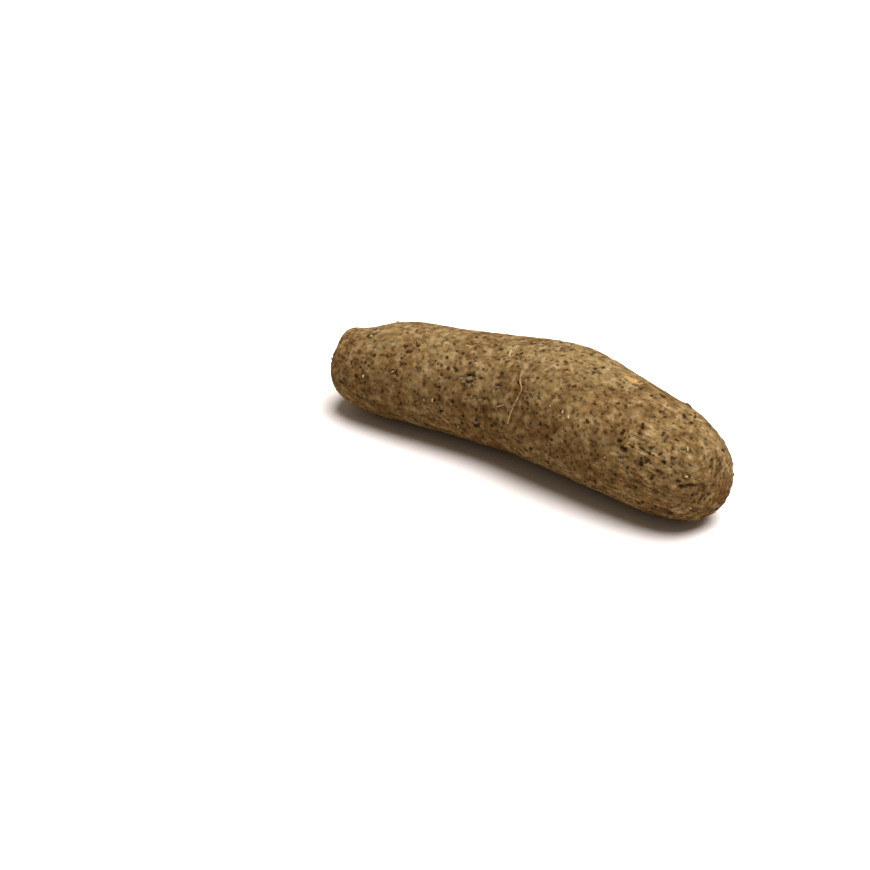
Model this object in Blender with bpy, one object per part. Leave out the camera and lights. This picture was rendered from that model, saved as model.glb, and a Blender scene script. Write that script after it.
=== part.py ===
"""A whole yam tuber, lying on its side as it would on a table.

Metres, +Z up. The crown, the end that grew nearest the vine, is at -X and the growing tip is at +X.
The tuber rests on the plane z = 0, with the origin under the middle of its box, and both ends bend
towards -Y. It grew in one piece, so it is one solid: a bent, swelling body with rounded ends.
"""

import bisect
import math

import bmesh
import bpy
from mathutils import Vector

# Overall sizes
LENGTH = 0.268  # from end to end, along the axis
THICKNESS = 0.0770  # across the belly, where the tuber is thickest

# The bend of the axis, seen from above
BEND = math.radians(16)  # how far the axis turns in all
BEND_STARTS = 0.29  # shares of the length between which it turns
BEND_ENDS = 0.69

# How thick the body is at even steps from crown to tip, as shares of THICKNESS
BODY_SHARES = (0.76, 0.78, 0.815, 0.86, 0.905, 0.96, 1.00, 0.96, 0.905, 0.85, 0.82)

# Each end is rounded over this length. A bluntness of 2 is an ellipse, and a higher one is squarer.
CROWN_ROUNDING = 0.054
CROWN_BLUNTNESS = 2.9
TIP_ROUNDING = 0.063
TIP_BLUNTNESS = 3.4

# The cross-section is slightly oval, and its long way turns slowly from crown to tip
OVALITY = 0.018  # how far the skin stands off a circle, as a share of its radius
OVAL_TURN = math.radians(150)  # twice the turn of the long way over the whole length

# Gentle swellings and hollows: place as a share of the length, angle round the axis in degrees
# (0 faces -Y, 90 faces up), reach over the skin, and height, which is negative for a hollow
SWELLINGS = (
    (0.002, 105, 0.016, 0.0030),
    (0.070, 118, 0.013, -0.0040),
    (0.190, 112, 0.020, 0.0020),
    (0.330, 60, 0.022, 0.0012),
    (0.470, 20, 0.020, -0.0012),
    (0.560, 150, 0.026, 0.0013),
    (0.690, 75, 0.020, -0.0010),
    (0.780, 25, 0.018, 0.0012),
    (0.880, 115, 0.012, 0.0012),
    (0.300, 200, 0.024, -0.0016),
    (0.440, 185, 0.018, 0.0014),
    (0.700, 205, 0.020, -0.0014),
    (0.880, 190, 0.014, 0.0012),
    (0.150, 250, 0.018, 0.0010),
)

# The scar where the vine was broken off: a shallow dish in the middle of the crown end
SCAR_RADIUS = 0.0085
SCAR_DEPTH = 0.0014

# How much of the skin's lowest places is pressed flat where the tuber rests
REST_FLAT = 0.0006

# Fineness of the solid: a box of square grids, with this many faces along it and across its ends
FACES_ALONG = 46
FACES_ACROSS = 14
SPINE_STEPS = 280  # straight steps along the axis

SKIN_COLOUR = (0.26, 0.17, 0.085, 1.0)
SKIN_ROUGHNESS = 0.9


def smoothstep(low, high, value):
    """0 up to low, 1 from high, and a smooth rise between them."""
    share = min(1.0, max(0.0, (value - low) / (high - low)))
    return share * share * (3 - 2 * share)


def body_share(share):
    """Thickness of the body at this share of the length: a Catmull-Rom curve through BODY_SHARES."""
    place = min(max(share, 0.0), 1.0) * (len(BODY_SHARES) - 1)
    first = min(int(place), len(BODY_SHARES) - 2)
    t = place - first
    last = len(BODY_SHARES) - 1
    a, b, c, d = (BODY_SHARES[min(max(first + k, 0), last)] for k in (-1, 0, 1, 2))
    return b + t * ((c - a) + t * ((2 * a - 5 * b + 4 * c - d) + t * (3 * (b - c) + d - a))) / 2


def end_rounding(distance, reach, bluntness):
    """Share of the full radius at this distance from an end: a quarter of a superellipse."""
    if distance >= reach:
        return 1.0
    return (1 - (1 - max(distance, 0.0) / reach) ** bluntness) ** (1 / bluntness)


def radius_at(share):
    """Radius of the plain body, with its rounded ends, at this share of the length."""
    crown = end_rounding(share * LENGTH, CROWN_ROUNDING, CROWN_BLUNTNESS)
    tip = end_rounding((1 - share) * LENGTH, TIP_ROUNDING, TIP_BLUNTNESS)
    return THICKNESS / 2 * body_share(share) * crown * tip


def heading_at(share):
    """Direction of the axis seen from above, turning from +BEND/2 to -BEND/2."""
    return BEND * (0.5 - smoothstep(BEND_STARTS, BEND_ENDS, share))


def make_spine():
    """Points along the axis at even steps, each half the body's thickness up, so the body lies on z = 0."""
    step = LENGTH / SPINE_STEPS
    x, y = 0.0, 0.0
    points = []
    for i in range(SPINE_STEPS + 1):
        share = i / SPINE_STEPS
        points.append(Vector((x, y, THICKNESS / 2 * body_share(share))))
        middle = heading_at(share + 0.5 / SPINE_STEPS)
        x += step * math.cos(middle)
        y += step * math.sin(middle)
    return points


def spine_at(spine, share):
    """The point of the axis at this share of the length."""
    place = min(max(share, 0.0), 1.0) * SPINE_STEPS
    first = min(int(place), SPINE_STEPS - 1)
    return spine[first].lerp(spine[first + 1], place - first)


def make_meridian():
    """Distances over the skin from the crown's pole, and the share of the length at each of them.

    The steps are finer at the ends, where the skin turns in.
    """
    shares = [(1 - math.cos(math.pi * i / SPINE_STEPS)) / 2 for i in range(SPINE_STEPS + 1)]
    travelled = [0.0]
    for a, b in zip(shares, shares[1:]):
        travelled.append(travelled[-1] + math.hypot((b - a) * LENGTH, radius_at(b) - radius_at(a)))
    return travelled, shares


def share_at(meridian, distance):
    """Share of the length at this distance over the skin from the crown's pole."""
    travelled, shares = meridian
    i = min(max(bisect.bisect_left(travelled, distance), 1), len(travelled) - 1)
    t = (distance - travelled[i - 1]) / (travelled[i] - travelled[i - 1])
    return shares[i - 1] + t * (shares[i] - shares[i - 1])


def relief(share, angle, radius):
    """Height of the skin over the plain round body: the oval cross-section and the swellings."""
    height = radius * OVALITY * math.cos(2 * angle - OVAL_TURN * share)
    faded = smoothstep(0, THICKNESS / 4, radius)  # swellings fade towards the poles, where all angles meet
    for place, degrees, reach, swelling in SWELLINGS:
        turn = math.remainder(angle - math.radians(degrees), 2 * math.pi)
        away = math.hypot((share - place) * LENGTH, turn * radius)
        height += swelling * faded * math.exp(-((away / reach) ** 2))
    return height


def skin_point(spine, share, angle):
    """A point of the skin, at this share of the length and this angle round the axis."""
    radius = radius_at(share)
    heading = heading_at(share)
    forward = Vector((math.cos(heading), math.sin(heading), 0))
    side = Vector((math.sin(heading), -math.cos(heading), 0))
    outward = side * math.cos(angle) + Vector((0, 0, 1)) * math.sin(angle)
    point = spine_at(spine, share) + outward * (radius + relief(share, angle, radius))
    if share < 0.5:  # the crown's half
        point += forward * SCAR_DEPTH * (1 - smoothstep(0, SCAR_RADIUS, radius))
    return point


def grid_sides():
    """The squares on the six sides of a box, each as four whole-number corners.

    The box's two ends become the tuber's ends, so faces don't crowd together at the poles.
    """
    counts = (FACES_ALONG, FACES_ACROSS, FACES_ACROSS)
    for axis in range(3):
        across, up = (axis + 1) % 3, (axis + 2) % 3
        for level in (0, counts[axis]):
            for i in range(counts[across]):
                for j in range(counts[up]):
                    corners = []
                    for a, b in ((i, j), (i + 1, j), (i + 1, j + 1), (i, j + 1)):
                        corner = [0, 0, 0]
                        corner[axis], corner[across], corner[up] = level, a, b
                        corners.append(tuple(corner))
                    yield corners


def angle_round(across, up):
    """Angle round the axis, in even steps round each square ring of the grid."""
    ring = max(abs(across), abs(up))
    if ring == 0:
        return 0.0
    return math.atan2(math.tan(math.pi / 4 * up / ring), math.tan(math.pi / 4 * across / ring))


def place_on_skin(corner, spine, meridian):
    """Carries a corner of the grid box to the tuber's skin."""
    along = corner[0]
    across = 2 * corner[1] / FACES_ACROSS - 1
    up = 2 * corner[2] / FACES_ACROSS - 1
    whole = meridian[0][-1]
    step = whole / (FACES_ALONG + FACES_ACROSS)
    end = step * FACES_ACROSS / 2  # skin from a pole to the edge of its end
    if along == 0:
        distance = end * max(abs(across), abs(up))
    elif along == FACES_ALONG:
        distance = whole - end * max(abs(across), abs(up))
    else:
        distance = end + step * along
    return skin_point(spine, share_at(meridian, distance), angle_round(across, up))


def skin_material():
    """Dull brown corky skin."""
    material = bpy.data.materials.new("yam_skin")
    material.use_nodes = True
    shader = material.node_tree.nodes["Principled BSDF"]
    shader.inputs["Base Color"].default_value = SKIN_COLOUR
    shader.inputs["Roughness"].default_value = SKIN_ROUGHNESS
    shader.inputs["Metallic"].default_value = 0.0
    return material


def lay_down(mesh):
    """Sets the tuber down on z = 0, its box's middle over the origin and its lowest places pressed flat."""
    low = Vector([min(v.co[k] for v in mesh.verts) for k in range(3)])
    high = Vector([max(v.co[k] for v in mesh.verts) for k in range(3)])
    shift = Vector(((low.x + high.x) / 2, (low.y + high.y) / 2, low.z + REST_FLAT))
    for vert in mesh.verts:
        vert.co -= shift
        vert.co.z = max(vert.co.z, 0.0)


def make_yam():
    """The one solid: every corner of the grid box carried to the skin."""
    spine, meridian = make_spine(), make_meridian()
    mesh = bmesh.new()
    verts = {}
    for corners in grid_sides():
        for corner in corners:
            if corner not in verts:
                verts[corner] = mesh.verts.new(place_on_skin(corner, spine, meridian))
        mesh.faces.new([verts[corner] for corner in corners])
    lay_down(mesh)
    bmesh.ops.recalc_face_normals(mesh, faces=mesh.faces)
    data = bpy.data.meshes.new("yam")
    mesh.to_mesh(data)
    mesh.free()
    data.shade_smooth()
    data.materials.append(skin_material())
    yam = bpy.data.objects.new("yam", data)
    bpy.context.scene.collection.objects.link(yam)


def main():
    for obj in list(bpy.data.objects):
        bpy.data.objects.remove(obj)
    make_yam()


main()
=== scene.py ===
import math

import bmesh
import bpy
import numpy as np
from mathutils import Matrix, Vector, kdtree, noise


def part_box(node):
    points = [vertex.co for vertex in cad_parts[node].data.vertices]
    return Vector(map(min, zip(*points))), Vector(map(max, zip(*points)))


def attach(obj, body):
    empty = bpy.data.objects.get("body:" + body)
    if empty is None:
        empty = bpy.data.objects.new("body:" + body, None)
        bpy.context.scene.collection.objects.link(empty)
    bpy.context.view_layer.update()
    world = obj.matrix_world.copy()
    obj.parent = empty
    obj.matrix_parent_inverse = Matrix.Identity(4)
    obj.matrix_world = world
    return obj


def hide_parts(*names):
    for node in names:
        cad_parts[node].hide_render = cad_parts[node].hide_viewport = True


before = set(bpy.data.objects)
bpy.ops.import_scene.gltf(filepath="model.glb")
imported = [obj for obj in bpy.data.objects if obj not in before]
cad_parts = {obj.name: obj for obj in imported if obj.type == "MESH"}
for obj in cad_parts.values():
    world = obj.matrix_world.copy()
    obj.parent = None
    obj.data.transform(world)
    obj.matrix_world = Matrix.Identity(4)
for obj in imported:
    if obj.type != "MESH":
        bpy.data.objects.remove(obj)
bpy.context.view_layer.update()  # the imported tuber, which stays where it is

# A whole yam in its rough, pitted, corky skin. The skin is a fine copy of the CAD tuber with relief worked
# into its mesh, and the root stubs and hair roots on it are a second piece. Metres; crown at -X, tip at +X.

SEED = 7
RNG = np.random.default_rng(SEED)
NODE = "yam"
LOW, HIGH = (np.array(corner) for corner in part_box(NODE))
MIDDLE = Vector((LOW + HIGH) / 2)
LENGTH = HIGH[0] - LOW[0]

SKIN_GRAIN = 0.00092  # edge of a square of the skin's mesh
SAME_POINT = 1e-6  # corners of the CAD tuber this close are one
ROUNDINGS = 2  # how many times the CAD tuber's faces are divided and smoothed


# ---------------------------------------------------------------- the skin's mesh

def smooth_copy(node):
    """A fine smooth copy of a CAD node, as even squares of SKIN_GRAIN."""
    mesh = bmesh.new()
    mesh.from_mesh(node.data)
    bmesh.ops.remove_doubles(mesh, verts=mesh.verts, dist=SAME_POINT)
    bmesh.ops.join_triangles(
        mesh, faces=mesh.faces, angle_face_threshold=math.pi, angle_shape_threshold=math.pi)
    data = bpy.data.meshes.new("skin")
    mesh.to_mesh(data)
    mesh.free()
    skin = bpy.data.objects.new("skin", data)
    bpy.context.scene.collection.objects.link(skin)
    rounded = skin.modifiers.new("rounded", "SUBSURF")
    rounded.levels = rounded.render_levels = ROUNDINGS
    squares = skin.modifiers.new("squares", "REMESH")
    squares.mode = "VOXEL"
    squares.voxel_size = SKIN_GRAIN
    depsgraph = bpy.context.evaluated_depsgraph_get()
    fine = bpy.data.meshes.new_from_object(skin.evaluated_get(depsgraph))
    skin.modifiers.clear()
    skin.data = fine
    return skin


def read_vectors(vertices, name):
    """One of the vertices' vectors, their place or normal, as rows of three."""
    values = np.empty(len(vertices) * 3)
    vertices.foreach_get(name, values)
    return values.reshape(-1, 3)


NOISE_FINER = 2.0  # how much shorter each finer layer of noise is than the one before
NOISE_FADE = 0.9  # and this power of it says how much weaker


def field(points, size, layers=1, shift=0.0):
    """Smooth 3D noise, about -1 to 1, whose waves are about this size in metres.

    Each use has a shift of its own, so that no two have their waves at the same places.
    """
    places = points / size + shift
    return np.array([noise.fractal(Vector(p), NOISE_FADE, NOISE_FINER, layers) for p in places])


def smoothstep(low, high, value):
    """0 up to low, 1 from high, and a smooth change between them. Low may be the higher of the two."""
    share = np.clip((value - low) / (high - low), 0, 1)
    return share * share * (3 - 2 * share)


def bell(value, centre, width):
    """1 at the centre, and a smooth fall to nearly 0 at twice this width on both sides of it."""
    return np.exp(-(((value - centre) / width) ** 2))


MARKS = ("pit", "scar", "crack", "scrape", "wrinkle")
AXIS_BANDS = 40  # places along the tuber where the middle of its cross-section is read
END_ON = 0.1  # where less than this of the tuber's direction lies in the skin, the skin faces along it


class Skin:
    """The skin's points while relief is worked into them, and its marks for the material."""

    def __init__(self, obj):
        self.obj = obj
        self.settle(read_vectors(obj.data.vertices, "co"))
        self.height = np.zeros(len(self.points))
        self.marks = {name: np.zeros(len(self.points)) for name in MARKS}
        self.read_axis()

    def settle(self, points):
        """Takes these points as the skin's, with the normals the mesh has now."""
        self.points = points
        self.normals = read_vectors(self.obj.data.vertices, "normal")
        self.tree = kdtree.KDTree(len(points))
        for i, p in enumerate(points):
            self.tree.insert(p, i)
        self.tree.balance()

    def read_axis(self):
        """How far along each point is, from 0 at the crown to 1 at the tip, and its angle round the axis."""
        x, y, z = self.points.T
        bands = np.linspace(LOW[0], HIGH[0], AXIS_BANDS)
        width = bands[1] - bands[0]
        slices = [abs(x - band) < width for band in bands]
        middle_y = [np.ptp(y[part]) / 2 + y[part].min() for part in slices]
        middle_z = [np.ptp(z[part]) / 2 + z[part].min() for part in slices]
        side = y - np.interp(x, bands, middle_y)
        up = z - np.interp(x, bands, middle_z)
        self.along = (x - LOW[0]) / LENGTH
        self.angle = np.arctan2(up, -side)
        self.radius = np.hypot(side, up)

    def near(self, centre, reach):
        """The points within this reach of the centre."""
        found = self.tree.find_range(centre, reach)
        return np.array([i for _, i, _ in found], dtype=int)

    def at(self, along, degrees):
        """The point of the skin at this share of the length and angle round the axis: 0 faces -Y, 90 up."""
        turn = np.angle(np.exp(1j * (self.angle - math.radians(degrees))))
        return int(np.argmin((self.along - along) ** 2 * LENGTH**2 + (turn * self.radius) ** 2))

    def frame_at(self, i, turn=0.0):
        """Two directions in the skin at point i: along the tuber and across it, both turned by this much."""
        normal = self.normals[i]
        first = np.cross(np.cross(normal, (1.0, 0.0, 0.0)), normal)
        if np.linalg.norm(first) < END_ON:
            first = np.cross(normal, (0.0, 0.0, 1.0))
        first /= np.linalg.norm(first)
        second = np.cross(normal, first)
        c, s = math.cos(turn), math.sin(turn)
        return c * first + s * second, c * second - s * first

    def scatter(self, count, gap):
        """Random points of the skin at least this far apart."""
        chosen = []
        for i in RNG.permutation(len(self.points)):
            p = self.points[i]
            if all(abs(p[0] - q[0]) > gap or np.dot(p - q, p - q) > gap * gap for q in chosen):
                chosen.append(p)
                yield int(i)
                if len(chosen) == count:
                    return

    def mark(self, name, where, value):
        """Raises this mark to the value at these points, where it is lower."""
        self.marks[name][where] = np.maximum(self.marks[name][where], value)


# Where the ends stand out from the CAD tuber, or fall short of it: share of the length, angle in degrees,
# reach over the skin, and height, which is negative where they fall short
END_SHAPE = (
    (0.990, -125, 0.013, 0.0019),
    (0.975, -82, 0.013, 0.0012),
    (0.955, 131, 0.012, -0.0009),
    (0.027, 88, 0.007, 0.0014),
    (0.018, 52, 0.008, -0.0009),
    (0.027, -14, 0.012, 0.0010),
    (0.090, -43, 0.012, 0.0007),
)


def end_shape(skin):
    """How far the skin stands out from the CAD tuber at both ends."""
    out = np.zeros(len(skin.points))
    for along, degrees, reach, height in END_SHAPE:
        away = np.linalg.norm(skin.points - skin.points[skin.at(along, degrees)], axis=1)
        out += height * bell(away, 0, reach)
    return out


LOWERED = 0.0003  # how far the skin's middle level lies inside the CAD tuber, to leave room for its relief

# Unevenness of the body and grain of the cork, from broad to fine: height, size, and the noise's shift
LUMPS = (
    (0.00045, 0.024, 0.0),
    (0.00026, 0.0085, 5.0),
    (0.00014, 0.0040, 9.0),
)


def lumps(skin):
    """Unevenness of the body and grain of the cork."""
    skin.height -= LOWERED
    for height, size, shift in LUMPS:
        skin.height += height * field(skin.points, size, 2, shift)


WRINKLE_WIDTH = 0.0028
WRINKLE_HEIGHT = 0.00032
WRINKLE_STRETCH = 6  # how much longer than wide the wrinkles are
WRINKLED_TIP = (0.72, 0.86)  # shares of the length between which they set in near the tip
WRINKLED_CROWN = (0.04, 0.16)  # and end near the crown
WRINKLE_PATCH = 0.03  # size of the patches in which they are strong
WRINKLE_LEAST = 0.12  # how strong they are everywhere else


def wrinkles(skin):
    """Fine wrinkles that run along the tuber, strongest near the tip and at the crown.

    The material adds finer ones, in the same stretched space.
    """
    across = skin.radius * np.cos(skin.angle)
    up = skin.radius * np.sin(skin.angle)
    skin.stretched = np.column_stack((skin.along * LENGTH / WRINKLE_STRETCH, across, up))
    patches = smoothstep(-0.25, 0.35, field(skin.points, WRINKLE_PATCH, 1, 3.0))
    near_tip = smoothstep(*WRINKLED_TIP, skin.along) * (0.30 + 0.70 * patches)
    near_crown = 0.6 * (1 - smoothstep(*WRINKLED_CROWN, skin.along))
    strength = WRINKLE_LEAST + (1 - WRINKLE_LEAST) * np.maximum(near_tip, near_crown)
    skin.marks["wrinkle"] = strength
    skin.height += WRINKLE_HEIGHT * strength * field(skin.stretched, WRINKLE_WIDTH, 1, 1.0)


# The darkest pits: share of the length, angle round the axis in degrees, and size
DARK_PITS = (
    (0.530, 41, 0.0012),
    (0.570, 50, 0.0013),
    (0.655, 57, 0.0014),
    (0.800, 38, 0.0015),
    (0.800, 31, 0.0014),
    (0.810, 26, 0.0019),
    (0.835, 52, 0.0014),
    (0.880, 55, 0.0013),
    (0.860, 19, 0.0016),
    (0.905, 31, 0.0015),
)
PIT_COUNT = 950
PIT_GAP = 0.0042  # least distance between two pits
PIT_SIZES = (0.0010, 0.0013, 0.0017)
PIT_SIZE_SHARES = (0.5, 0.35, 0.15)  # how many of the pits have each size
PIT_DARKNESS = (0.2, 1.0)
PIT_DEPTH = (0.22, 0.42)  # as shares of the size
PIT_STRETCH = (1.0, 1.45)  # how much longer than wide a pit is
PIT_RIM = 0.15  # height of the raised rim, as a share of the depth


def pits(skin):
    """The larger pits of the skin: soft uneven bowls, some of them two run together."""
    places = [(skin.at(along, degrees), size, 1.0) for along, degrees, size in DARK_PITS]
    for i in skin.scatter(PIT_COUNT, PIT_GAP):
        places.append((i, RNG.choice(PIT_SIZES, p=PIT_SIZE_SHARES), RNG.uniform(*PIT_DARKNESS)))
    for i, size, darkness in places:
        depth = size * RNG.uniform(*PIT_DEPTH)
        turn = RNG.uniform(0, math.pi)
        centre = skin.points[i]
        for part in range(RNG.integers(1, 3)):
            long_way = size * RNG.uniform(*PIT_STRETCH)
            u, v = skin.frame_at(i, turn + RNG.normal(0, 0.5))
            where = skin.near(centre, long_way * 1.6)
            if len(where):
                offset = skin.points[where] - centre
                r = np.hypot(offset @ u / long_way, offset @ v / size)
                bowl = depth * np.clip(1 - r * r, 0, 1) - PIT_RIM * depth * bell(r, 1.25, 0.25)
                skin.height[where] -= bowl * (1.0 if part == 0 else 0.5)
                skin.mark("pit", where, np.clip(1.1 - r * r, 0, 1) * darkness)
            centre = centre + u * long_way * RNG.uniform(0.7, 1.2)
            size *= 0.75


SCAR_STRETCH = 1.35  # how much longer than wide a root scar is
SCAR_WAVES = 0.002  # size of the unevenness of its outline
COLLAR_HEIGHT = 0.22  # this and the next two are shares of the scar's size
RING_DEPTH = 0.42
STUMP_HEIGHT = 0.10


def root_scar(skin, i, size, strength):
    """Where a root broke off: a low oval collar round a dark broken ring, with a stump in the middle."""
    u, v = skin.frame_at(i, RNG.uniform(-0.5, 0.5))
    where = skin.near(skin.points[i], size * 2.2)
    offset = skin.points[where] - skin.points[i]
    across, up = offset @ u / (size * SCAR_STRETCH), offset @ v / size
    wobble = 1 + 0.30 * field(skin.points[where], SCAR_WAVES, 2, 17.0)
    r = np.hypot(across, up) * wobble
    broken = 0.45 + 0.55 * np.sin(np.arctan2(up, across) + RNG.uniform(-0.6, 0.6)) ** 2
    skin.height[where] += strength * COLLAR_HEIGHT * size * bell(r, 1.2, 0.3)
    skin.height[where] -= strength * RING_DEPTH * size * bell(r, 0.72, 0.24) * broken
    skin.height[where] += strength * STUMP_HEIGHT * size * bell(r, 0, 0.4)
    skin.mark("scar", where, np.minimum(strength, 1) * bell(r, 0.70, 0.28) * broken)


# The larger root scars: share of the length, angle in degrees, size and strength
LARGE_SCARS = (
    (0.407, 34, 0.0033, 1.2),
    (0.620, 150, 0.0030, 1.0),
)
SCAR_COUNT = 60
SCAR_GAP = 0.015
SCAR_SIZE = (0.0011, 0.0024)
SCAR_STRENGTH = (0.3, 0.8)


def root_scars(skin):
    """The larger root scars, and scattered ones, whose places are returned for the stubs."""
    for along, degrees, size, strength in LARGE_SCARS:
        root_scar(skin, skin.at(along, degrees), size, strength)
    places = list(skin.scatter(SCAR_COUNT, SCAR_GAP))
    for i in places:
        root_scar(skin, i, RNG.uniform(*SCAR_SIZE), RNG.uniform(*SCAR_STRENGTH))
    return places


LARGE_KNOB = (0.870, 123, 0.0029, 0.0012)  # share of the length, angle in degrees, size and height
KNOB_COUNT = 9
KNOB_GAP = 0.04
KNOB_SIZE = (0.0014, 0.0020)
KNOB_HEIGHT = (0.0007, 0.0012)
KNOB_WAVES = 0.002  # size of the unevenness of its outline


def knobs(skin):
    """Small dark warts where the cork has grown over the foot of a rootlet."""
    along, degrees, size, height = LARGE_KNOB
    places = [(skin.at(along, degrees), size, height)]
    for i in skin.scatter(KNOB_COUNT, KNOB_GAP):
        places.append((i, RNG.uniform(*KNOB_SIZE), RNG.uniform(*KNOB_HEIGHT)))
    for i, size, height in places:
        where = skin.near(skin.points[i], size * 2)
        r = np.linalg.norm(skin.points[where] - skin.points[i], axis=1) / size
        r *= 1 + 0.2 * field(skin.points[where], KNOB_WAVES, 1, 53.0)
        skin.height[where] += height * bell(r, 0, 0.75)
        skin.mark("scar", where, smoothstep(1.25, 0.6, r))


CRACK_STEP = 0.0008  # between the points of a crack's path
HAIR_STEP = 0.0012  # and of a hair root's
STEADINESS = 0.8  # how much of its swing a wandering path keeps from step to step


def through(skin, places, step):
    """Points of a path over the skin through these places, each a share of the length and an angle."""
    ends = [skin.points[skin.at(along, degrees)] for along, degrees in places]
    path = []
    for a, b in zip(ends, ends[1:]):
        count = max(2, round(np.linalg.norm(b - a) / step))
        path.extend(a + (b - a) * t for t in np.linspace(0, 1, count, endpoint=False))
    return path + [ends[-1]]


def wander(skin, i, length, turn, unrest, step):
    """Points of a path over the skin that starts at point i and turns this way and that."""
    here = skin.points[i]
    heading, _ = skin.frame_at(i, turn)
    path = [here]
    swing = 0.0
    for _ in range(int(length / step)):
        normal = skin.normals[skin.tree.find(here)[1]]
        swing = STEADINESS * swing + unrest * RNG.normal()
        heading = heading + swing * np.cross(normal, heading)
        heading -= normal * (heading @ normal)
        heading /= np.linalg.norm(heading)
        here = here + heading * step
        path.append(here)
    return path


# The crack near the tip with its short branch, and furrows along the tuber: width, depth of colour, places
CRACKS = (
    (0.0016, 1.0, ((0.935, 12), (0.950, 11), (0.965, 16), (0.980, 18))),
    (0.0013, 1.0, ((0.935, 17), (0.948, 17))),
    (0.0010, 0.8, ((0.890, 82), (0.918, 82))),
    (0.0010, 0.8, ((0.920, 52), (0.942, 53))),
    (0.0009, 0.7, ((0.883, 48), (0.896, 49))),
    (0.0010, 0.7, ((0.780, 90), (0.805, 94))),
)
CRACK_COUNT = 30
CRACK_GAP = 0.02
CRACK_LENGTH = (0.004, 0.010)
CRACK_WIDTH = (0.0008, 0.0011)
CRACK_UNREST = 0.25  # how much a crack's direction changes from step to step, in radians
CRACK_RAGGED = 0.00030  # how far its edge strays
CRACK_DEPTH = 0.0007


def cracks(skin):
    """Short cracks and furrows that wander over the skin."""
    paths = [(through(skin, places, CRACK_STEP), width, strength) for width, strength, places in CRACKS]
    for i in skin.scatter(CRACK_COUNT, CRACK_GAP):
        length, turn = RNG.uniform(*CRACK_LENGTH), RNG.uniform(0, math.pi)
        path = wander(skin, i, length, turn, CRACK_UNREST, CRACK_STEP)
        paths.append((path, RNG.uniform(*CRACK_WIDTH), 1.0))
    for path, width, strength in paths:
        for k, here in enumerate(path):
            taper = math.sin(math.pi * (k + 0.5) / len(path)) ** 0.5
            here = here + RNG.normal(0, CRACK_RAGGED, 3)
            where = skin.near(here, width * 1.5)
            r = np.linalg.norm(skin.points[where] - here, axis=1) / (width * taper)
            skin.mark("crack", where, np.clip(1 - r * r, 0, 1) * taper * strength)
    skin.height -= CRACK_DEPTH * skin.marks["crack"]


# Scrapes: share of the length, angle in degrees, half length, half width and how bare
SCRAPES = (
    (0.752, 101, 0.0052, 0.0032, 0.9),
    (0.042, 50, 0.0042, 0.0034, 0.5),
    (0.330, 205, 0.0035, 0.0024, 0.7),
)
SCRAPE_TURN = 0.1  # how far the scrapes are turned from the tuber's direction, in radians
SCRAPE_WAVES = 0.0022  # size of the unevenness of their outline
SCRAPE_SMOOTHS = 0.7  # how much of the relief is rubbed away
SCRAPE_DEPTH = 0.0004


def scrapes(skin):
    """Places where the cork is rubbed off down to the orange-yellow flesh."""
    for along, degrees, long_way, wide, strength in SCRAPES:
        i = skin.at(along, degrees)
        u, v = skin.frame_at(i, SCRAPE_TURN)
        where = skin.near(skin.points[i], long_way * 1.5)
        offset = skin.points[where] - skin.points[i]
        r = np.hypot(offset @ u / long_way, offset @ v / wide)
        r += 0.35 * field(skin.points[where], SCRAPE_WAVES, 2, 31.0)
        bare = smoothstep(1.05, 0.75, r) * strength
        skin.mark("scrape", where, bare)
        skin.height[where] = skin.height[where] * (1 - SCRAPE_SMOOTHS * bare) - SCRAPE_DEPTH * bare


VINE_RADIUS = 0.0085  # of the place where the vine was
VINE_REACH = 0.02  # how far from its middle the skin is shaped
VINE_COLLAR = 0.0011  # height of the collar round it
VINE_ROUGHNESS = 0.0008  # height of the unevenness inside it
CROWN_POINTS = 200  # how many of the skin's points, from the crown's end on, show where its middle is


def vine_scar(skin):
    """The dry broken place at the crown, where the vine was."""
    centre = skin.points[np.argsort(skin.points[:, 0])[:CROWN_POINTS]].mean(axis=0)
    where = skin.near(centre, VINE_REACH)
    offset = skin.points[where] - centre
    r = np.hypot(offset[:, 1], offset[:, 2]) / VINE_RADIUS
    r *= 1 + 0.15 * field(skin.points[where], 0.006, 2, 41.0)
    rough = field(skin.points[where], 0.0028, 3, 43.0)
    skin.height[where] += VINE_COLLAR * bell(r, 1.1, 0.28)
    skin.height[where] += VINE_ROUGHNESS * rough * (1 - smoothstep(0.7, 1.1, r))
    skin.mark("scar", where, 0.75 * (1 - smoothstep(0.75, 1.1, r)) * (0.6 + 0.4 * rough))


# From this height up the material paints the skin at its greyest: partly dust, partly a painted highlight on
# the raised relief.
FULLY_RAISED = 0.0006  # the height from which the material shows the cork as raised


def make_skin():
    """The finished skin, and the places of its scattered root scars."""
    skin = Skin(smooth_copy(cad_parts[NODE]))
    lumps(skin)
    wrinkles(skin)
    pits(skin)
    scar_places = root_scars(skin)
    knobs(skin)
    cracks(skin)
    scrapes(skin)
    vine_scar(skin)
    shaped = skin.points + skin.normals * (skin.height + end_shape(skin))[:, None]
    shaped[:, 2] = np.maximum(shaped[:, 2], LOW[2])  # flat where it rests
    data = skin.obj.data
    data.vertices.foreach_set("co", shaped.ravel())
    for name, values in skin.marks.items():
        data.attributes.new(name, "FLOAT", "POINT").data.foreach_set("value", values)
    # How high the skin stands, for the material's greyer raised cork: partly dust, partly a painted
    # highlight.
    raised = data.attributes.new("raised", "FLOAT", "POINT")
    raised.data.foreach_set("value", np.clip(skin.height / FULLY_RAISED, -1, 1))
    stretched = data.attributes.new("stretched", "FLOAT_VECTOR", "POINT")
    stretched.data.foreach_set("vector", skin.stretched.ravel())
    data.shade_smooth()
    data.update()
    skin.settle(shaped)
    return skin, scar_places


# ---------------------------------------------------------------- root stubs and hair roots

ROOT_SIDES = 7
STUB_SIDE = np.array((0.31, 0.57, 0.76))  # a direction that no stub grows in


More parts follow.
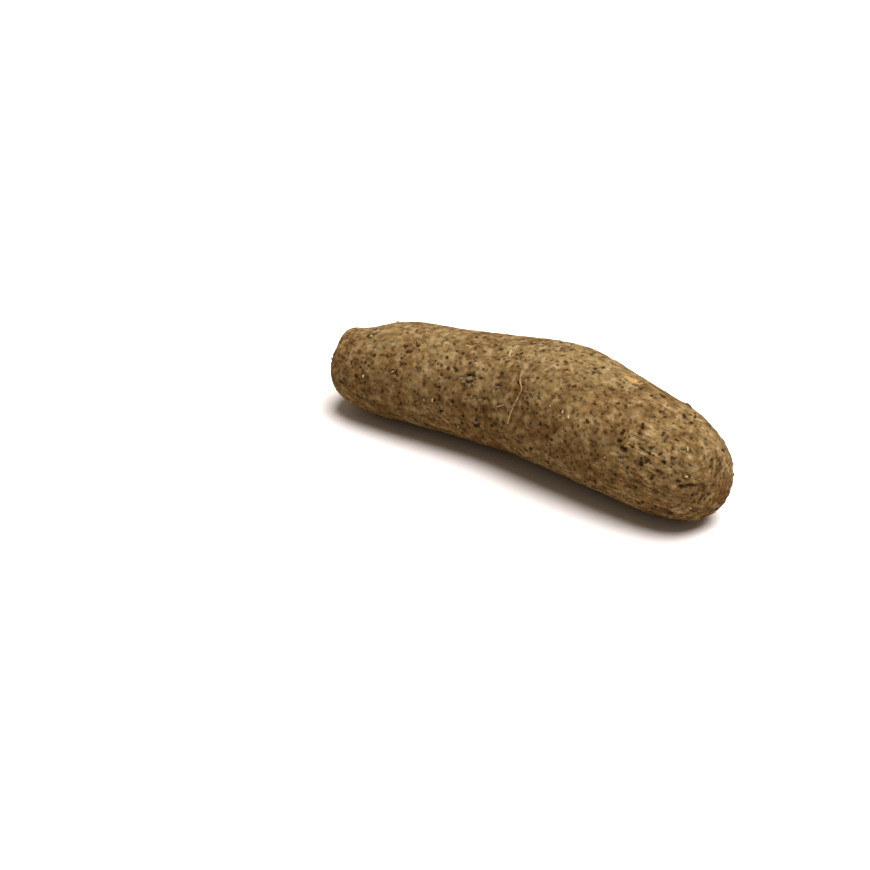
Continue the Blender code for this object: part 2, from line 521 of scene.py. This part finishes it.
def grow_root(mesh, path, thickness, aside, paleness):
    """One closed tube of a root along the path, with this thickness and paleness at each point of it."""
    pale = mesh.verts.layers.float["pale"]
    rings = []
    for k, centre in enumerate(path):
        ahead = path[min(k + 1, len(path) - 1)] - path[max(k - 1, 0)]
        u = np.cross(ahead, aside)
        u /= np.linalg.norm(u)
        v = np.cross(ahead, u)
        v /= np.linalg.norm(v)
        turns = np.arange(ROOT_SIDES) * 2 * math.pi / ROOT_SIDES
        ring = centre + thickness[k] / 2 * (np.outer(np.cos(turns), u) + np.outer(np.sin(turns), v))
        rings.append([mesh.verts.new(point) for point in ring])
        for vert in rings[-1]:
            vert[pale] = paleness[k]
    for a, b in zip(rings, rings[1:]):
        for k in range(ROOT_SIDES):
            mesh.faces.new((a[k], a[k - 1], b[k - 1], b[k]))
    mesh.faces.new(rings[0])
    mesh.faces.new(rings[-1])


STUB_STEPS = (-0.3, 0.0, 0.3, 0.6, 0.9, 1.0)  # shares of its length, from inside the skin to its end
STUB_RISE = 0.5  # how far a stub rises, leans and bends at its end, as shares of its length
STUB_LEAN = 0.8
STUB_BEND = 0.25
BROKEN_END = 0.45  # how thick its broken end still is, as a share


def root_stub(mesh, skin, i, length, thick, turn, pale=1.0):
    """A stub that leans out of the skin towards this turn, bends a little and ends broken."""
    normal = skin.normals[i]
    lean, _ = skin.frame_at(i, turn)
    bend, _ = skin.frame_at(i, RNG.uniform(0, 2 * math.pi))
    path, thickness = [], []
    for t in STUB_STEPS:
        out = normal * STUB_RISE * length * t + lean * STUB_LEAN * length * t * abs(t)
        path.append(skin.points[i] + out + bend * STUB_BEND * length * t * t)
        taper = (1.25 - 0.55 * t) * (BROKEN_END if t == 1.0 else 1.0)
        thickness.append(thick * taper * RNG.uniform(0.92, 1.08))
    grow_root(mesh, path, thickness, STUB_SIDE, (pale,) * len(path))


STUB_TURN = (-1.2, 1.2)  # which way small stubs lean, in radians from the tuber's direction
STUB_PALENESS = (0.2, 0.9)
STUBS_DOWN_TO = -0.7  # the least upward part of the skin's normal where they grow


def small_stubs(mesh, skin, places, lengths, thicknesses):
    """A stub at each of these points of the skin, but for those on the underside."""
    for i in places:
        if skin.normals[i][2] > STUBS_DOWN_TO:
            size = RNG.uniform(*lengths), RNG.uniform(*thicknesses)
            root_stub(mesh, skin, i, *size, RNG.uniform(*STUB_TURN), RNG.uniform(*STUB_PALENESS))


HAIR_SMOOTHINGS = 4


def hair_root(mesh, skin, path, thick, lift):
    """A thin root that lies along the skin through these points, and lifts off it at its far end."""
    laid = []
    for k, point in enumerate(path):
        j = skin.tree.find(point)[1]
        t = k / (len(path) - 1)
        away = -0.4 * thick if k == 0 else 0.6 * thick + lift * smoothstep(0.3, 1.0, t)
        laid.append(skin.points[j] + skin.normals[j] * away)
    for _ in range(HAIR_SMOOTHINGS):
        laid[1:-1] = [(a + 2 * b + c) / 4 for a, b, c in zip(laid, laid[1:], laid[2:])]
    taper = np.linspace(1.15, 0.5, len(laid)) * RNG.uniform(0.88, 1.12, len(laid))
    paleness = np.linspace(0.1, 0.8, len(laid))
    grow_root(mesh, laid, thick * taper, skin.normals[skin.tree.find(laid[0])[1]], paleness)


# The largest stubs: share of the length, angle in degrees, and length
LARGE_STUBS = (
    (0.474, 64, 0.0034),
    (0.326, 4, 0.0020),
    (0.657, 31, 0.0020),
    (0.673, 29, 0.0018),
    (0.940, 54, 0.0022),
)
LARGE_STUB_THICKNESS = 0.0012
LARGE_STUB_TURN = (1.1, 1.9)

# The small ones, on every second root scar and scattered over the skin: their lengths and thicknesses
SCAR_STUBS = ((0.0011, 0.0022), (0.0006, 0.0010))
SKIN_STUBS = ((0.0007, 0.0014), (0.0005, 0.0008))
SKIN_STUB_COUNT = 30
SKIN_STUB_GAP = 0.022

# Two roots that lie across the front: places as shares of the length and angles in degrees
LONG_HAIR = ((0.525, 50), (0.533, 42), (0.547, 37), (0.543, 25), (0.533, 10), (0.529, 3))
SHORT_HAIR = ((0.490, 14), (0.512, 19))

# The others, which are left on the back only
HAIR_COUNT = 16  # before those that fall elsewhere are dropped
HAIR_GAP = 0.035
HAIR_DOWN_TO = -0.4  # the least upward and backward part of the skin's normal where they lie
HAIR_BACK_FROM = 0.3
HAIR_LENGTH = (0.007, 0.018)
HAIR_UNREST = 0.12
HAIR_THICKNESS = (0.00045, 0.0006)
HAIR_LIFT = (0.0001, 0.0007)


def make_rootlets(skin, scar_places):
    """Root stubs, and fine roots that lie on the skin, all in one mesh."""
    mesh = bmesh.new()
    mesh.verts.layers.float.new("pale")
    for along, degrees, length in LARGE_STUBS:
        turn = RNG.uniform(*LARGE_STUB_TURN)
        root_stub(mesh, skin, skin.at(along, degrees), length, LARGE_STUB_THICKNESS, turn)
    small_stubs(mesh, skin, scar_places[::2], *SCAR_STUBS)
    small_stubs(mesh, skin, skin.scatter(SKIN_STUB_COUNT, SKIN_STUB_GAP), *SKIN_STUBS)
    hair_root(mesh, skin, through(skin, LONG_HAIR, HAIR_STEP), thick=0.0011, lift=0.0010)
    hair_root(mesh, skin, through(skin, SHORT_HAIR, HAIR_STEP), thick=0.0009, lift=0.0005)
    for i in skin.scatter(HAIR_COUNT, HAIR_GAP):
        _, back, up = skin.normals[i]
        if up > HAIR_DOWN_TO and back > HAIR_BACK_FROM:
            length, turn = RNG.uniform(*HAIR_LENGTH), RNG.uniform(0, 2 * math.pi)
            path = wander(skin, i, length, turn, HAIR_UNREST, HAIR_STEP)
            hair_root(mesh, skin, path, RNG.uniform(*HAIR_THICKNESS), RNG.uniform(*HAIR_LIFT))
    for vert in mesh.verts:
        vert.co.z = max(vert.co.z, LOW[2])
    bmesh.ops.recalc_face_normals(mesh, faces=mesh.faces)
    data = bpy.data.meshes.new("rootlets")
    mesh.to_mesh(data)
    mesh.free()
    data.shade_smooth()
    rootlets = bpy.data.objects.new("rootlets", data)
    bpy.context.scene.collection.objects.link(rootlets)
    return rootlets


# ---------------------------------------------------------------- materials

# Sockets of a Mix node that is set to mix colours
MIX_SHARE, MIX_FIRST, MIX_SECOND = 0, 6, 7
MIX_RESULT = 2


class Nodes:
    """Short ways to add and join shader nodes."""

    def __init__(self, name):
        self.material = bpy.data.materials.new(name)
        self.material.use_nodes = True
        self.tree = self.material.node_tree
        self.shader = self.tree.nodes["Principled BSDF"]
        self.place = self.new("ShaderNodeTexCoord").outputs["Object"]
        self.uneven = None

    def new(self, kind, **settings):
        """A new node of this kind, with these settings."""
        node = self.tree.nodes.new(kind)
        for name, value in settings.items():
            setattr(node, name, value)
        return node

    def put(self, socket, value):
        """Joins another node's socket to this one, or sets it to a plain value."""
        if isinstance(value, bpy.types.NodeSocket):
            self.tree.links.new(value, socket)
        else:
            socket.default_value = value

    def noise(self, size, detail=2.0, rough=0.5, at=None):
        """Noise about 0.5 whose waves are about this size in metres."""
        node = self.new("ShaderNodeTexNoise")
        self.put(node.inputs["Vector"], at or self.place)
        self.put(node.inputs["Scale"], 1 / size)
        self.put(node.inputs["Detail"], detail)
        self.put(node.inputs["Roughness"], rough)
        return node.outputs["Fac"]

    def warp(self, size, reach):
        """From here on, dots are pushed about by noise of this size, this far, so that none is round."""
        push = self.new("ShaderNodeTexNoise")
        self.put(push.inputs["Vector"], self.place)
        self.put(push.inputs["Scale"], 1 / size)
        self.put(push.inputs["Detail"], 1.0)
        shift = self.new("ShaderNodeVectorMath", operation="MULTIPLY_ADD")
        self.put(shift.inputs[0], push.outputs["Color"])
        shift.inputs[1].default_value = (2 * reach,) * 3
        self.put(shift.inputs[2], self.place)
        self.uneven = shift.outputs[0]

    def dots(self, gap, radius):
        """Scattered soft dots about this far apart, of all sizes up to this radius and all strengths."""
        node = self.new("ShaderNodeTexVoronoi")
        self.put(node.inputs["Vector"], self.uneven)
        self.put(node.inputs["Scale"], 1 / gap)
        chance = self.new("ShaderNodeSeparateColor")
        self.put(chance.inputs[0], node.outputs["Color"])
        size = self.spread(chance.outputs[0], 0, 1, 0.3 * radius / gap, radius / gap, smooth=False)
        strength = self.spread(chance.outputs[1], 0.0, 0.8, smooth=False)
        inside = self.spread(self.math("DIVIDE", node.outputs["Distance"], size), 1.0, 0.45)
        return self.math("MULTIPLY", inside, strength)

    def attribute(self, name):
        """A value that the mesh carries at each of its points."""
        return self.new("ShaderNodeAttribute", attribute_name=name).outputs["Fac"]

    def math(self, operation, a, b=0.0, c=0.0):
        """What this operation makes of the values, of which most operations take two."""
        node = self.new("ShaderNodeMath", operation=operation)
        for socket, value in zip(node.inputs, (a, b, c)):
            self.put(socket, value)
        return node.outputs[0]

    def spread(self, value, low, high, to_low=0.0, to_high=1.0, smooth=True):
        """The value carried from low..high to to_low..to_high, and held there outside."""
        node = self.new("ShaderNodeMapRange", interpolation_type="SMOOTHSTEP" if smooth else "LINEAR")
        self.put(node.inputs["Value"], value)
        self.put(node.inputs["From Min"], low)
        self.put(node.inputs["From Max"], high)
        self.put(node.inputs["To Min"], to_low)
        self.put(node.inputs["To Max"], to_high)
        return node.outputs[0]

    def mix(self, share, first, second, blend="MIX"):
        """The first colour with this share of the second mixed in, or multiplied by it."""
        node = self.new("ShaderNodeMix", data_type="RGBA", blend_type=blend)
        self.put(node.inputs[MIX_SHARE], share)
        self.put(node.inputs[MIX_FIRST], first)
        self.put(node.inputs[MIX_SECOND], second)
        return node.outputs[MIX_RESULT]

    def bump(self, height, strength, distance):
        """Lights the surface as if it had this relief, which stands this high where the height is 1."""
        node = self.new("ShaderNodeBump")
        self.put(node.inputs["Height"], height)
        self.put(node.inputs["Strength"], strength)
        self.put(node.inputs["Distance"], distance)
        self.put(self.shader.inputs["Normal"], node.outputs[0])


KHAKI = (0.186, 0.120, 0.048, 1)
BROWN = (0.145, 0.084, 0.030, 1)
RED_BROWN = (0.142, 0.071, 0.024, 1)
# Grey of the cork's own patches, also painted over the raised relief as partly dust and partly a painted
# highlight.
GREY_CORK_AND_HIGHLIGHT = (0.220, 0.160, 0.086, 1)
DARK_GRAIN = (0.038, 0.016, 0.003, 1)
DARK_PIT = (0.020, 0.008, 0.002, 1)
SCAR_BROWN = (0.016, 0.007, 0.002, 1)
FLESH = (0.320, 0.192, 0.064, 1)
PALE_FLECK = (0.238, 0.178, 0.100, 1)
PALE_ROOT = (0.430, 0.300, 0.155, 1)
ROOT_BROWN = (0.205, 0.110, 0.046, 1)

CORK_GLOSS = 0.06
ROOT_GLOSS = 0.15
ROOT_ROUGHNESS = 0.85


def skin_material():
    """Rough cork: khaki to brown patches, pale flecks, and dark grain, pits, cracks and root scars."""
    n = Nodes("yam_skin")
    n.warp(0.0013, 0.0004)
    broad = n.noise(0.030, 3)
    medium = n.noise(0.0060, 3, 0.6)
    grain = n.noise(0.0031, 2, 0.5)
    fine = n.noise(0.0010, 2, 0.6)
    stretched = n.new("ShaderNodeAttribute", attribute_name="stretched").outputs["Vector"]
    lines = n.noise(0.0019, 2, 0.5, stretched)
    wrinkle = n.math("MULTIPLY", n.attribute("wrinkle"), n.math("SUBTRACT", lines, 0.5))

    colour = n.mix(n.spread(broad, 0.40, 0.60), BROWN, KHAKI)
    colour = n.mix(n.spread(n.noise(0.016, 3), 0.52, 0.68, 0, 0.5), colour, RED_BROWN)
    colour = n.mix(n.spread(medium, 0.48, 0.70, 0, 0.55), colour, GREY_CORK_AND_HIGHLIGHT)
    # Greyer where the skin stands raised: partly dust, partly a painted highlight on the raised relief.
    colour = n.mix(n.spread(n.attribute("raised"), 0.0, 1.0, 0, 0.25), colour, GREY_CORK_AND_HIGHLIGHT)
    tone = n.spread(medium, 0.32, 0.66, 0.78, 1.12)
    tone = n.math("MULTIPLY", tone, n.spread(fine, 0.30, 0.70, 0.94, 1.05))
    tone = n.math("MULTIPLY", tone, n.spread(grain, 0.36, 0.62, 0.75, 1.12))
    # Darker in the fine wrinkles' furrows and lighter on their ridges, in step with their bump: painted
    # shade and painted highlight.
    tone = n.math("MULTIPLY", tone, n.spread(wrinkle, -0.12, 0.12, 0.64, 1.19))
    colour = n.mix(1.0, colour, tone, "MULTIPLY")
    colour = n.mix(n.spread(grain, 0.40, 0.28, 0, 0.7), colour, DARK_GRAIN)
    colour = n.mix(n.math("MULTIPLY", n.dots(0.0046, 0.0015), 0.6), colour, PALE_FLECK)

    soft_pits = n.math("MULTIPLY", n.attribute("pit"), n.spread(fine, 0.35, 0.60, 0.70, 1.0))
    soft_pits = n.spread(soft_pits, 0.12, 0.75)
    small_pits = n.math("MAXIMUM", n.dots(0.0040, 0.0018), n.dots(0.0030, 0.0012))
    small_pits = n.math("MULTIPLY", small_pits, n.spread(n.noise(0.022, 2), 0.38, 0.58, 0.5, 1.0))
    ragged_crack = n.math("MULTIPLY_ADD", n.math("SUBTRACT", fine, 0.5), 0.8, n.attribute("crack"))
    dark = n.math("MAXIMUM", soft_pits, n.spread(ragged_crack, 0.25, 0.7, 0, 0.9))
    dark = n.math("MAXIMUM", dark, small_pits)
    colour = n.mix(n.math("MULTIPLY", dark, 0.88), colour, DARK_PIT)
    colour = n.mix(n.math("MULTIPLY", n.attribute("scar"), 0.92), colour, SCAR_BROWN)
    flesh = n.mix(1.0, FLESH, n.spread(fine, 0.3, 0.7, 0.6, 1.2), "MULTIPLY")
    colour = n.mix(n.math("MULTIPLY", n.attribute("scrape"), n.spread(grain, 0.30, 0.42)), colour, flesh)
    n.put(n.shader.inputs["Base Color"], colour)
    n.put(n.shader.inputs["Roughness"], n.spread(fine, 0.3, 0.7, 0.85, 0.97))
    n.shader.inputs["Specular IOR Level"].default_value = CORK_GLOSS

    relief = n.math("MULTIPLY_ADD", grain, 0.60, n.math("MULTIPLY", fine, 0.17))
    relief = n.math("MULTIPLY_ADD", wrinkle, 0.9, relief)
    relief = n.math("SUBTRACT", relief, n.math("MULTIPLY", dark, 0.30))
    n.bump(relief, strength=0.7, distance=0.0010)
    return n.material


def rootlet_material():
    """Dry root: pale straw to brown, with darker bits."""
    n = Nodes("dry_root")
    uneven = n.math("MULTIPLY_ADD", n.math("SUBTRACT", n.noise(0.005, 2), 0.5), 1.6, n.attribute("pale"))
    colour = n.mix(n.spread(uneven, 0.1, 0.9), ROOT_BROWN, PALE_ROOT)
    colour = n.mix(1.0, colour, n.spread(n.noise(0.0007, 2), 0.3, 0.7, 0.7, 1.15), "MULTIPLY")
    n.put(n.shader.inputs["Base Color"], colour)
    n.shader.inputs["Roughness"].default_value = ROOT_ROUGHNESS
    n.shader.inputs["Specular IOR Level"].default_value = ROOT_GLOSS
    n.bump(n.noise(0.0005, 2), strength=0.5, distance=0.0003)
    return n.material


def plain_material(name, colour, roughness):
    """One colour and roughness all over."""
    n = Nodes(name)
    n.shader.inputs["Base Color"].default_value = colour
    n.shader.inputs["Roughness"].default_value = roughness
    return n.material


# ---------------------------------------------------------------- stage, light and camera

CAMERA_AZIMUTH = math.radians(30.8)
CAMERA_ELEVATION = math.radians(30.0)
CAMERA_DISTANCE = 1.0115
CAMERA_LENS = 70.0  # this and the next in millimetres
SENSOR_WIDTH = 36.0
AIM_LEFT = 0.0554  # how far left of and below the tuber's middle the camera looks
AIM_BELOW = 0.0246


def towards(azimuth, elevation):
    """The direction that has this azimuth, from -Y towards +X, and this elevation."""
    level = math.cos(elevation)
    return Vector((math.sin(azimuth) * level, -math.cos(azimuth) * level, math.sin(elevation)))


def make_camera():
    """The camera, which looks down on the tuber's front, a little from the tip's side."""
    camera = bpy.data.objects.new("camera", bpy.data.cameras.new("camera"))
    bpy.context.scene.collection.objects.link(camera)
    back = towards(CAMERA_AZIMUTH, CAMERA_ELEVATION)
    camera.location = MIDDLE + back * CAMERA_DISTANCE
    right = Vector((math.cos(CAMERA_AZIMUTH), math.sin(CAMERA_AZIMUTH), 0))
    aim = MIDDLE - right * AIM_LEFT - back.cross(right) * AIM_BELOW
    camera.rotation_euler = (aim - camera.location).to_track_quat("-Z", "Y").to_euler()
    camera.data.lens = CAMERA_LENS
    camera.data.sensor_width = SENSOR_WIDTH
    bpy.context.scene.camera = camera


KEY_AZIMUTH = CAMERA_AZIMUTH + math.radians(85)  # from beyond the tip, high up
KEY_ELEVATION = math.radians(76)
KEY_SOFTNESS = math.radians(50)  # how wide the light looks from the tuber
KEY_STRENGTH = 6.95
KEY_COLOUR = (0.95, 1.0, 1.12)
ROOM_COLOUR = (1.0, 0.90, 0.80, 1)
ROOM_STRENGTH = 0.35
WHITE = (1, 1, 1, 1)
FLOOR_COLOUR = (0.62, 0.555, 0.485, 1)
FLOOR_ROUGHNESS = 0.9
FLOOR_REACH = 12  # from its middle to its edges


def make_key_light():
    """The one lamp: large, soft and high."""
    light = bpy.data.lights.new("key", "SUN")
    light.angle = KEY_SOFTNESS
    light.energy = KEY_STRENGTH
    light.color = KEY_COLOUR
    key = bpy.data.objects.new("key", light)
    back = towards(KEY_AZIMUTH, KEY_ELEVATION)
    key.location = MIDDLE + back
    key.rotation_euler = back.to_track_quat("Z", "Y").to_euler()
    bpy.context.scene.collection.objects.link(key)


def make_floor():
    """A plain pale floor at z = 0."""
    mesh = bmesh.new()
    bmesh.ops.create_grid(mesh, x_segments=1, y_segments=1, size=FLOOR_REACH)
    data = bpy.data.meshes.new("floor")
    mesh.to_mesh(data)
    mesh.free()
    floor = bpy.data.objects.new("floor", data)
    bpy.context.scene.collection.objects.link(floor)
    data.materials.append(plain_material("pale_floor", FLOOR_COLOUR, FLOOR_ROUGHNESS))


def make_room():
    """Even light from all round, and a white that is seen behind the tuber but lights nothing."""
    world = bpy.data.worlds.new("studio")
    bpy.context.scene.world = world
    world.use_nodes = True
    tree = world.node_tree
    room = tree.nodes["Background"]
    room.inputs["Color"].default_value = ROOM_COLOUR
    room.inputs["Strength"].default_value = ROOM_STRENGTH
    backdrop = tree.nodes.new("ShaderNodeBackground")
    backdrop.inputs["Color"].default_value = WHITE
    either = tree.nodes.new("ShaderNodeMixShader")
    seen = tree.nodes.new("ShaderNodeLightPath").outputs["Is Camera Ray"]
    tree.links.new(seen, either.inputs[0])
    tree.links.new(room.outputs[0], either.inputs[1])
    tree.links.new(backdrop.outputs[0], either.inputs[2])
    tree.links.new(either.outputs[0], tree.nodes["World Output"].inputs[0])


def make_stage():
    """Floor, light and the look of the picture."""
    make_floor()
    make_room()
    make_key_light()
    bpy.context.scene.view_settings.view_transform = "Standard"
    bpy.context.scene.view_settings.look = "Medium High Contrast"


# ---------------------------------------------------------------- the pieces

make_camera()
make_stage()
skin, scar_places = make_skin()
rootlets = make_rootlets(skin, scar_places)
for piece, material in ((skin.obj, skin_material()), (rootlets, rootlet_material())):
    piece.data.materials.clear()
    piece.data.materials.append(material)
    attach(piece, "root")
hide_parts(NODE)
